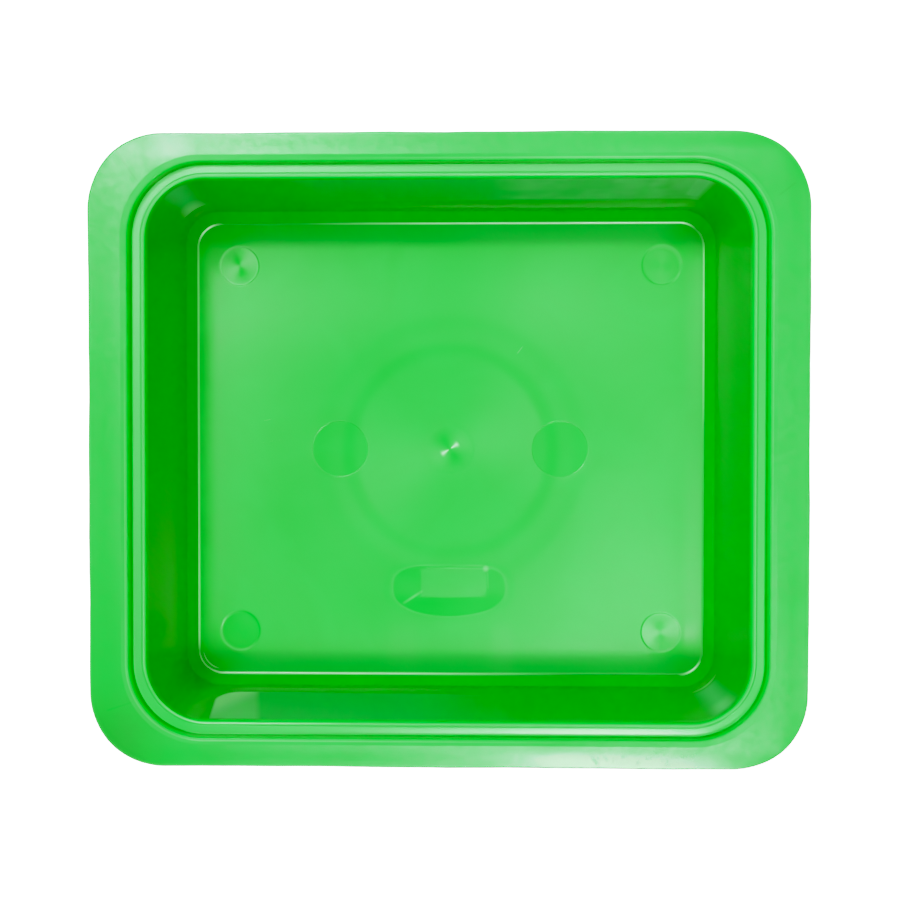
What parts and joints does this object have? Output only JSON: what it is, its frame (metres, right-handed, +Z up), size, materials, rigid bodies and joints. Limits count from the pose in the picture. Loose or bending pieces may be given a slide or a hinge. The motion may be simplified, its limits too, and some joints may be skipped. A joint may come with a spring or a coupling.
{
  "type": "gold pan",
  "caption": "Rectangular one-piece plastic gold pan: deep drafted tub with rounded corners, a narrow ledge and a wide flat carrying flange.",
  "frame": {"origin": "centre of the flat underside, on the resting plane", "axes": "+Z up out of the open mouth; X along the long side, towards the wider flange ends; Y along the short side, with the floor's D-shaped pad towards -Y"},
  "size_m": [0.4064, 0.3584, 0.089],
  "materials": {
    "green_plastic": "glossy moulded polypropylene with fine scuffs"
  },
  "bodies": {
    "root": {"pan_body": "green_plastic"}
  },
  "joints": []
}
